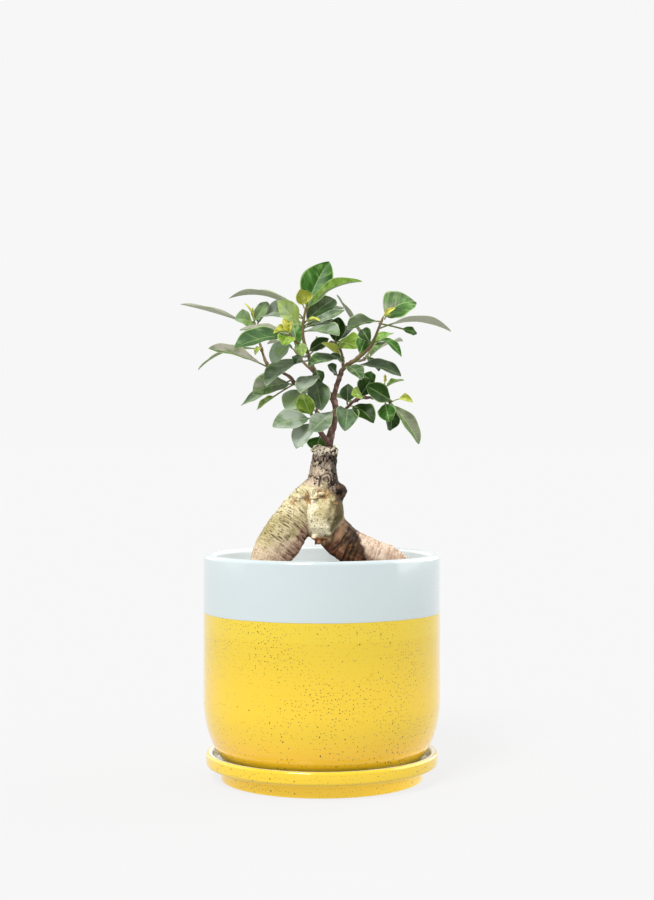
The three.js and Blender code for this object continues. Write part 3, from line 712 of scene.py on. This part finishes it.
# ---- Leaves ----
# Leathery ficus leaves on short stalks: a folded blade with a midrib that stands out underneath,
# sunk side veins and a thin pale margin. Old ones are blue-green, young ones yellow-green.
def leaf_finish(name, top, top_light, under, sheen_tint, vein_tint, yellow):
    """Waxy leaf: mottled green on top with a painted sheen, duller underneath, pale midrib, veins and
    margin.
    """
    tree = material_tree(name)
    where, x, *_ = own_place(tree)
    blade, across, under_side, vein, rib, tone, silver, raised = kept(
        tree, "blade", "across", "under", "vein", "rib", "tone", "silver", "raised")
    cloud, fine = mottle(where, 130, 3), mottle(where, 1400, 2)
    yellowed, darkened = tone.math("MAXIMUM", 0.0), (-tone).math("MAXIMUM", 0.0)
    # Lighter and darker streaks run out from the midrib with the side veins. A dark leaf has faint ones.
    fan = result(tree, "ShaderNodeCombineXYZ", {
        0: vein * 0.8, 1: across * 1.1, 2: x * 40 + tone * 7 + silver * 5})
    streaks, faint = mottle(fan, 1.0, 3), 1 - darkened * 0.85
    # Where silver is over 0 a painted silver-green sheen lies on the blade. Where it is under 0 a painted
    # dull grey reflection lies mostly on the half of the blade that is turned up.
    sheen_patches = 0.35 + 0.65 * mottle(where, 85, 2).step(0.4, 0.58)
    upper = 0.15 + 0.85 * (across * raised).step(-0.15, 0.2)
    ridge = ((vein * 2 * math.pi).math("COSINE") * 0.5 + 0.5) ** 6.0 * abs(across).step(0.98, 0.6)
    green = layered(
        blended(cloud.step(0.3, 0.7), top, top_light),
        (yellowed, yellow),
        # Tone under 0 darkens a leaf: partly its own deep green, partly painted shade for leaves deep in the
        # crown.
        (darkened, "1b3505"),
        (streaks.step(0.5, 0.72) * 0.32 * faint, vein_tint),
        (streaks.step(0.5, 0.3) * 0.6, "18320a"),
        (silver.math("MAXIMUM", 0.0) * sheen_patches, sheen_tint),
        ((-silver).math("MAXIMUM", 0.0) * upper * sheen_patches, "948f84"),
        (ridge * 0.07 * faint, vein_tint),
        (abs(rib).step(0.5, 0.15) * blade.step(1.0, 0.75) * (0.2 + 0.22 * faint), vein_tint))
    dull = layered(
        blended(cloud, under, blended(yellowed, under, yellow)),
        (abs(rib).step(0.8, 0.3) * 0.4, vein_tint))
    colour = layered(
        green,
        (under_side, dull),
        (abs(across).step(0.87, 0.97) * 0.55, vein_tint),
        (blade.step(0.05, 0.0) * 0.8, "6e7440"))
    relief = cloud * 0.3 + fine * 0.08 - ridge * 0.12
    return finish(0.28 + 0.16 * cloud + 0.22 * under_side, colour, relief, 0.00016, ior=1.2)


leaf_finishes = {
    "leaf_old": leaf_finish("Old leaf", "1f4210", "416529", "a9ab98", "96a092", "a9ba8c", "6f8038"),
    "leaf_mature": leaf_finish("Mature leaf", "214f0c", "437528", "8d9c72", "8fa18b", "abc184", "a3b84e"),
    "leaf_young": leaf_finish("Young leaf", "5b7c1e", "7d9a38", "a3ae66", "a3b380", "c2cc84", "cdc95a"),
}


tree, given = geometry_tree("Leaf", Finish=leaf_finishes["leaf_old"], **{
    "Foot": (0.0, 0.0, 0.0), "Reach": (1.0, 0.0, 0.0), "Up": (0.0, 0.0, 1.0),
    "Length": 0.03, "Stalk": 0.003, "Width": 0.012, "Bow": 0.0, "Bend": 0.0, "Droop": 0.0,
    "Fold": 0.24, "Cup": 0.1, "Twist": 0.0, "Wave": 0.0004, "Fullness": 1.1, "Roundness": 0.68,
    "Stalk Radius": 0.0006, "Vein Spacing": 0.0024, "Seed": 0.0})
blank = result(tree, "GeometryNodeMeshCylinder", {
    "Vertices": 52, "Side Segments": 50, "Radius": 1.0, "Depth": 1.0}, fill_type="TRIANGLE_FAN")
round_x, round_y, round_z = parts_of(result(tree, "GeometryNodeInputPosition"))
stalk_share, tail_root, rib_half, blade_thickness = 0.13, 0.0013, 0.00055, 0.00023
across = round_x * abs(round_x) ** 0.5
step = round_z + 0.5
on_stalk = (step / stalk_share).math("MINIMUM", 1.0)
blade = ((step - stalk_share) / (1 - stalk_share)).math("MAXIMUM", 0.0)
blade = blade - (blade * 2 * math.pi).math("SINE") * 0.07
length, stalk = given["Length"], given["Stalk"]
along = stalk * on_stalk + (length - stalk) * blade - (1 - on_stalk) * tail_root
chord = along / length
outline = ((blade ** given["Fullness"]) * math.pi).math("SINE").math("MAXIMUM", 0.0)
outline = outline ** given["Roundness"]
stalk_radius = given["Stalk Radius"] * (1 - 0.75 * blade)
half = ((given["Width"] * 0.5 * outline) ** 2.0 + stalk_radius * stalk_radius).math("SQRT")
opening = blade.step(0.0, 0.13)
thickness = stalk_radius * (1 - opening) + blade_thickness * opening
flat = across * half
below, above = (-round_y).math("MAXIMUM", 0.0), round_y.math("MAXIMUM", 0.0)
midrib = flat / rib_half
midrib = (-(midrib * midrib)).math("EXPONENT")
rib_size = (1 - blade).math("MAXIMUM", 0.0) ** 0.7 * opening
arc = across * given["Cup"]
sideways = half * arc.math("SINE") / given["Cup"]
cupped = half * (1 - arc.math("COSINE")) / given["Cup"]
folded = given["Fold"] * ((flat * flat + 0.0000005).math("SQRT") - 0.0007)
vein = (along - abs(flat) * 0.85) / given["Vein Spacing"]
ridge = ((vein * 2 * math.pi).math("COSINE") * 0.5 + 0.5) ** 5.0
veined = ridge * abs(across).step(0.98, 0.7) * blade.step(0.0, 0.1) * -0.00004
swing = (blade * 13 + given["Seed"] + across.math("SIGN") * 1.9).math("SINE")
waved = swing * across * across * given["Wave"] * opening
relief = veined + above * midrib * rib_size * -0.00022 - below * midrib * rib_size * 0.00055
high = round_y * thickness + relief + cupped + folded + waved
turn = given["Twist"] * blade
off = sideways * turn.math("COSINE") - high * turn.math("SINE")
high = sideways * turn.math("SINE") + high * turn.math("COSINE")
bowed = chord * (1 - chord) * 4
high = high + given["Bow"] * bowed - given["Droop"] * blade ** 2.4
off = off + given["Bend"] * bowed
side = vectors("CROSS_PRODUCT", given["Up"], given["Reach"])
spot = given["Foot"]
for heading, distance in ((given["Reach"], along), (side, off), (given["Up"], high)):
    spot = vectors("ADD", spot, vectors("SCALE", heading, distance))
leaf_shape = blank
for title, value in (("blade", blade), ("across", across), ("under", round_y.step(0.06, -0.06)),
                     ("vein", vein), ("rib", flat / 0.001)):
    leaf_shape = stored(leaf_shape, title, value)
leaf_shape = result(tree, "GeometryNodeSetPosition", {"Geometry": leaf_shape, "Position": spot})
leaf_shape = result(tree, "GeometryNodeSetShadeSmooth", {0: leaf_shape})
ended(leaf_shape, given["Finish"])
leaf_tree = tree


def unit(vector):
    return vector / np.linalg.norm(vector)


packed_fold = math.radians(14)  # how far each half of a packed leaf is folded up
end_reach, row_gap = 0.0003, 0.0004  # corners nearer than these share an end, or a row across the leaf


def leaf_measures(node, wood):
    """Reads a packed leaf: where its stalk starts, which way it reaches and faces, and its sizes."""
    corners = np.array([tuple(vertex.co) for vertex in frame["nodes"][node].data.vertices])
    corners = np.unique(np.round(corners, 6), axis=0)
    bark_gap = [np.linalg.norm(wood - corner, axis=1).min() for corner in corners]
    foot = corners[int(np.argmin(bark_gap))]
    tip = corners[np.linalg.norm(corners - foot, axis=1).argmax()]
    for _ in range(4):
        reach = unit(tip - foot)
        along = (corners - foot) @ reach
        foot = corners[along < along.min() + end_reach].mean(0)
        tip = corners[along > along.max() - end_reach].mean(0)
    length = np.linalg.norm(tip - foot)
    along = (corners - foot) @ reach
    order = np.argsort(along)
    breaks = np.where(np.diff(along[order]) > row_gap)[0] + 1
    rows = [corners[group] for group in np.split(order, breaks)]
    marks = np.array([((row - foot) @ reach).mean() for row in rows])
    stalk, marks, edges, keels = marks[1], marks[2:-1], [], []
    for row in rows[2:-1]:
        gaps = np.linalg.norm(row[:, None] - row[None], axis=2)
        pair = np.unravel_index(gaps.argmax(), gaps.shape)
        edges.append(row[list(pair)])
        keels.append(np.delete(row, pair, axis=0).mean(0))
    edges = np.array(edges)
    widest = np.linalg.norm(edges[:, 0] - edges[:, 1], axis=1).argmax()
    up = edges[widest].mean(0) - keels[widest]
    up = unit(up - reach * (up @ reach))
    side = np.cross(up, reach)
    halves = abs((edges[:, 1] - edges[:, 0]) @ side) / 2
    middles = edges.mean(1) - foot
    bow_shape = 4 * marks / length * (1 - marks / length)
    drop = halves * math.tan(packed_fold)
    bow = ((middles @ up - drop) @ bow_shape) / (bow_shape @ bow_shape)
    bend = ((middles @ side) @ bow_shape) / (bow_shape @ bow_shape)
    places = (marks - stalk) / (length - stalk)
    outline = np.sin(math.pi * places ** 1.1) ** 0.8
    width = 2 * (halves @ outline) / (outline @ outline) / math.cos(packed_fold)
    return {"Foot": tuple(foot), "Reach": tuple(reach), "Up": tuple(up), "Length": length,
            "Stalk": stalk, "Width": width, "Bow": bow, "Bend": bend}


wood = np.array([tuple(vertex.co) for vertex in frame["nodes"]["stems"].data.vertices])
# How single leaves differ: tone is yellow over 0 and dark under it, the dark being partly the leaf's own
# green and partly painted shade deep in the crown; silver is a painted silver-green sheen over 0 and a
# painted grey reflection under it, and the rest changes the shape. Each shoot has its leaves in the order of
# their numbers.
shoot_looks = {
    "crown": [
        dict(tone=-0.25, fold=0.15, fullness=1.05, roundness=0.8),
        dict(tone=0.3, wide=0.6, fold=0.75, cup=0.6, droop=0.002),
        dict(tone=0.6, wide=1.35, length=0.0125, fold=0.5, cup=1.3),
        dict(tone=-0.3, silver=-0.35, wide=1.05),
        dict(tone=1.1, silver=0.55, wide=1.05, fold=0.15, roundness=0.85),
        dict(silver=-1.0, wide=0.8, fold=0.4, droop=0.004), dict(silver=0.6, wide=1.5, fold=0.15),
        dict(silver=1.3, wide=1.7, fold=0.15), dict(tone=0.2, silver=1.2, wide=1.1),
        dict(tone=-0.2, silver=0.4, wide=1.15), dict(silver=0.85, wide=1.2, fold=0.1, fullness=0.9),
        dict(tone=-0.4, silver=0.3, wide=1.2)],
    "middle": [
        dict(tone=-0.6, silver=0.1, wide=1.2, fold=0.2), dict(silver=-0.8, wide=1.1),
        dict(tone=0.0, wide=1.1), dict(tone=0.4, silver=1.3)],
    "left": [
        dict(silver=-0.9, wide=0.85, fold=0.3), dict(tone=0.3, silver=0.6, wide=1.1, fullness=0.8),
        dict(silver=0.3, wide=1.1), dict(tone=0.2, silver=-1.0),
        dict(silver=-0.4, wide=0.7, droop=0.003), dict(tone=0.1, silver=-0.6, wide=1.3),
        dict(silver=0.5), dict(tone=0.4, silver=1.4, wide=1.1)],
    "lower_left": [
        dict(tone=0.0, roundness=0.8), dict(silver=0.85, wide=1.1, fold=0.1, droop=0.001),
        dict(silver=1.4, wide=1.1), dict(silver=1.1, wide=1.2)],
    "stem": [dict(silver=0.85, wide=0.95, fold=0.1, fullness=1.5)],
    "back": [dict(tone=-0.3, fold=0.1)],
    "inner": [
        dict(tone=-0.05, wide=1.1), dict(silver=0.2, wide=1.2), dict(tone=-0.8, wide=1.3),
        dict(tone=-1.0, silver=0.0, wide=1.2)],
    "right": [
        dict(tone=-0.7, silver=-0.15, wide=1.1, fullness=1.3),
        dict(tone=-0.1, silver=-0.5, wide=1.1, fullness=0.8), dict(silver=-0.9, droop=0.003),
        dict(tone=-0.5, wide=0.6, droop=0.003), dict(tone=-0.3), dict(tone=-1.0, silver=0.2),
        dict(tone=-0.3, silver=0.1, wide=1.05)],
    "lower_right": [
        dict(tone=-0.9, fold=0.1), dict(tone=-0.6), dict(tone=-0.1, wide=1.2), dict(tone=-1.0),
        dict(tone=-0.7, silver=0.3, wide=1.15, fold=0.1, cup=0.9, fullness=1.2, roundness=0.5),
        dict(tone=-0.5, wide=1.1), dict(tone=0.3, silver=-0.5), dict(tone=-0.7, silver=0.0)],
    "side": [dict(), dict(tone=-0.5)],
}
leaf_looks = {
    f"{shoot}_leaf_{number}": looks
    for shoot, row in shoot_looks.items() for number, looks in enumerate(row, 1)}
age_of = {entry["node"]: entry["material_slot"] for entry in frame["record"]["subparts"]}
leaf_nodes = [node for node in frame["nodes"] if age_of[node] in leaf_finishes]


def grow_leaf(name, sizes, tone, silver, age):
    """One leaf as a plain mesh, with its tone, its painted sheen and which half is raised stored on it."""
    piece = grown(in_scene(name, bpy.data.meshes.new(name)), leaf_tree, Finish=leaf_finishes[age], **sizes)
    raised = math.copysign(1, np.cross(sizes["Up"], sizes["Reach"])[2])
    for title, value in (("tone", tone), ("silver", silver), ("raised", raised)):
        marked(piece, title, [value] * len(piece.data.vertices))
    return piece


lots = np.random.default_rng(23)
for node in leaf_nodes:
    sizes = leaf_measures(node, wood)
    looks = dict(leaf_looks.get(node, {}))
    sizes["Width"] *= 1.15 * looks.pop("wide", 1.0)
    sizes["Stalk"] *= 0.5 if sizes["Stalk"] < 0.006 else 0.8
    luck = lots.random(6)
    tone = looks.pop("tone", 0.2 * luck[0])
    silver = looks.pop("silver", 0.5 * (luck[1] - 0.5) if age_of[node] == "leaf_old" else 0.0)
    sizes |= {"Fold": 0.2 + 0.1 * luck[2], "Cup": 0.1 + 0.35 * luck[3], "Twist": 0.3 * (luck[4] - 0.5),
              "Wave": 0.0003 + 0.0004 * luck[5], "Seed": 6.28 * luck[0]}
    sizes |= {title.title(): value for title, value in looks.items()}
    piece = grow_leaf(f"{node}_blade", sizes, tone, silver, age_of[node])
    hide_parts(node)
    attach(piece, "root")

# ---- Unfolding leaves and buds ----
# Small late leaves that fill the middle of the crown, and the yellow sheaths and first leaves
# that unfold at the shoots' tips. Each grows from the bark nearest to the place given for it.
late_leaves = [  # foot, tip and upper side in millimetres, width, bow, stalk, finish, tone, silver
    ((10, 15, 304), (12, 14, 323), (0, -2, 1), 13, 2, 2, "old", -0.8, 0.0),
    ((-13, 3, 312), (17, 24, 317), (0, -2, 3), 14, 3, 3, "old", -0.3, 0.1),
    ((-16, -10, 303), (-13, -22, 293.5), (0, -3, 1), 9, 1, 2, "mature", 0.55, 0.2),
    ((41, -26, 318), (66, -10, 310), (-1, -3, 1), 6.5, 1, 18, "mature", -0.3, 0.0),
    ((-9, 6, 294), (-18, -10, 289), (-1, -2, 3), 11, 2, 2, "old", -0.7, 0.0),
    ((12, 0, 280), (4, -9, 288), (-1, -3, 2), 9, 1, 2, "old", -0.8, 0.1),
    ((-6, 6, 287), (0, -2, 276), (0, -3, 0), 9, 1, 2, "old", -0.6, 0.1),
    ((-9, 5, 297), (5, -5, 306.5), (0, -3, 1), 9, 1, 2, "old", -0.9, 0.0),
    ((15, 0, 288), (6, -8, 295.5), (0, -3, 2), 7, 1, 2, "old", -0.8, 0.0),
    ((34, -18, 301), (28, -5, 313), (0, -3, 0), 10, 1, 2, "old", -0.8, 0.0),
    ((24, -18, 264), (34.5, -9, 278), (0, -3, 1), 14, 1, 3, "old", -0.9, 0.0),
    ((-20, 8, 277), (-46.5, 22, 257.5), (0, -2, 3), 10, 1, 19, "mature", 0.4, 0.0),
    ((-43, 18, 301), (-47, 8, 296), (-1, -3, 1), 5, 1, 1, "young", 0.2, 0.0),
    ((30, 12, 293), (40, -4, 284), (1, -2, 2), 10, 2, 2, "old", -0.4, 0.0),
    ((36, 34, 303), (52, 50, 314), (0, -1, 3), 12, 2, 2, "mature", 0.2, 0.0),
    ((-20, 40, 301), (-40, 50, 306), (0, 0, 1), 12, 3, 2, "old", 0.0, 0.0),
    ((0, 38, 265), (22, 50, 262), (0, 0, 1), 12, 3, 2, "mature", 0.1, 0.0),
    ((-4, 28, 256), (-24, 40, 254), (0, 0, 1), 12, 3, 2, "old", 0.1, 0.3),
    ((-2, 2, 314), (16, -10, 326), (0, -3, 2), 7.5, 1, 6, "old", 0.0, 0.8),
    ((-50, 20, 320), (-39, 15, 334), (1, -3, 1), 8, 1, 2, "mature", 0.3, 0.5),
]
buds = {  # the same, without a finish and silver: all are young and have no painted sheen
    "bud_middle_up": ((-22, -22, 309), (-26.5, -26, 319), (1, -3, 0), 8, 1, 1, 0.9),
    "bud_middle_side": ((-22, -22, 309), (-33, -28, 309), (0, -2, 2), 8, 2, 1, 0.8),
    "bud_middle_fold": ((-22, -22, 309), (-20, -27, 317), (-1, -3, 1), 5, 1, 1, 1.0),
    "bud_left_up": ((-48, 20, 320), (-55, 18, 333), (2, -2, 1), 2.4, 2, 1, 0.9),
    "bud_left_side": ((-48, 20, 320), (-49, 16, 330), (-1, -3, 0), 3, 0, 1, 0.6),
    "bud_right_up": ((42, -28, 320), (50, -33, 326), (-1, -3, 1), 4.5, 1, 1, 1.0),
    "bud_right_low": ((42, -28, 320), (47, -33, 321), (0, -1, 2), 2.6, 1, 1, 0.7),
    "bud_crown": ((-13, 1, 318), (-1, -6, 319), (0, -1, 2), 4, 1, 1, 0.8),
    "bud_crown_tip": ((-11, -1, 329), (-12, -4, 336), (1, -3, 0), 2.4, 0, 1, 0.6),
    "bud_far_right": ((48, -32, 262), (62, -34, 261.5), (-1, -3, 2), 7, 4, 5, 0.5),
    "bud_inner": ((14.5, 5, 294), (0, -8, 303.5), (-1, -3, 2), 7, 1, 2, 0.5),
    "bud_side": ((44, 0, 275), (44, -3, 282), (1, -3, 0), 2.6, 0, 1, 0.9),
}
small_leaves = {f"late_leaf_{number}": leaf for number, leaf in enumerate(late_leaves, 1)}
small_leaves |= {title: (*bud[:-1], "young", bud[-1], 0.0) for title, bud in buds.items()}
for title, (foot, tip, up, width, bow, stalk, age, tone, silver) in small_leaves.items():
    foot, tip = np.array(foot) * mm, np.array(tip) * mm
    foot = wood[np.linalg.norm(wood - foot, axis=1).argmin()]
    reach, luck = unit(tip - foot), lots.random(5)
    up = unit(np.array(up) - reach * (np.array(up) @ reach))
    age, young = f"leaf_{age}", age == "young"
    piece = grow_leaf(title, {
        "Foot": tuple(foot), "Reach": tuple(reach), "Up": tuple(up), "Stalk": stalk * mm,
        "Length": np.linalg.norm(tip - foot), "Width": width * mm, "Bow": bow * mm,
        "Fold": 0.5 if young else 0.2, "Cup": 1.0 if young else 0.2 + 0.3 * luck[0],
        "Twist": 0.4 * (luck[1] - 0.5), "Wave": 0.0004, "Seed": 6.28 * luck[2],
        "Stalk Radius": 0.0004 if young else 0.0006}, tone, silver, age)
    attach(piece, "root")

# ---- Stage ----
# A plain white sweep under soft studio light: a white tent all round, a broad box high in front
# on the left, and a strip on each side a little behind the planter.
floor_mesh = bpy.data.meshes.new("studio_floor")
shape = bmesh.new()
bmesh.ops.create_circle(shape, cap_ends=True, segments=96, radius=40)
shape.to_mesh(floor_mesh)
shape.free()
floor = in_scene("studio_floor", floor_mesh)
sky_glow, floor_white = 0.93, 0.06
# Each light: the way it comes from, its strength beside the sky's, and its softness in degrees.
studio_lights = {
    "key_light": ((-0.34, -0.66, 0.90), 1.02, 18),
    "left_rim": ((-0.87, 0.45, 0.20), 0.34, 80),
    "right_rim": ((0.87, 0.45, 0.20), 1.10, 80),
}
floor_light = sky_glow
for title, (way, strength, softness) in studio_lights.items():
    lamp = bpy.data.lights.new(title, "SUN")
    lamp.energy, lamp.angle = strength * math.pi, math.radians(softness)
    in_scene(title, lamp).rotation_euler = Vector(way).to_track_quat("Z", "Y").to_euler()
    floor_light += strength * Vector(way).normalized().z
# The floor glows by what it lacks, so that it meets the sky without a line.
tree = material_tree("Studio floor")
where = own_place(tree)[0]
grey = blended(mottle(where, 3, 1), (floor_white,) * 3 + (1,), (floor_white * 0.99,) * 3 + (1,))
floor_finish = finish(
    0.9, grey, mottle(where, 300, 2), 0.00002,
    **{"Emission Color": (1, 1, 1, 1), "Emission Strength": sky_glow - floor_white * floor_light,
       "Specular IOR Level": 0.0})
floor_mesh.materials.append(floor_finish)

world = bpy.data.worlds.new("Studio")
bpy.context.scene.world = world
world.use_nodes = True
tent = world.node_tree.nodes["Background"].inputs
tent["Color"].default_value = (1, 1, 1, 1)
tent["Strength"].default_value = sky_glow

lens = bpy.data.cameras.new("Camera")
lens.lens, lens.sensor_width, lens.shift_y = 66.97, 36.0, -0.01267
lens.clip_start, lens.clip_end = 0.05, 200
camera = in_scene("Camera", lens)
camera.location = (0.00364, -1.1715, 0.2370)
camera.rotation_euler = (math.radians(90), 0, 0)
bpy.context.scene.camera = camera
bpy.context.scene.view_settings.view_transform = "Standard"
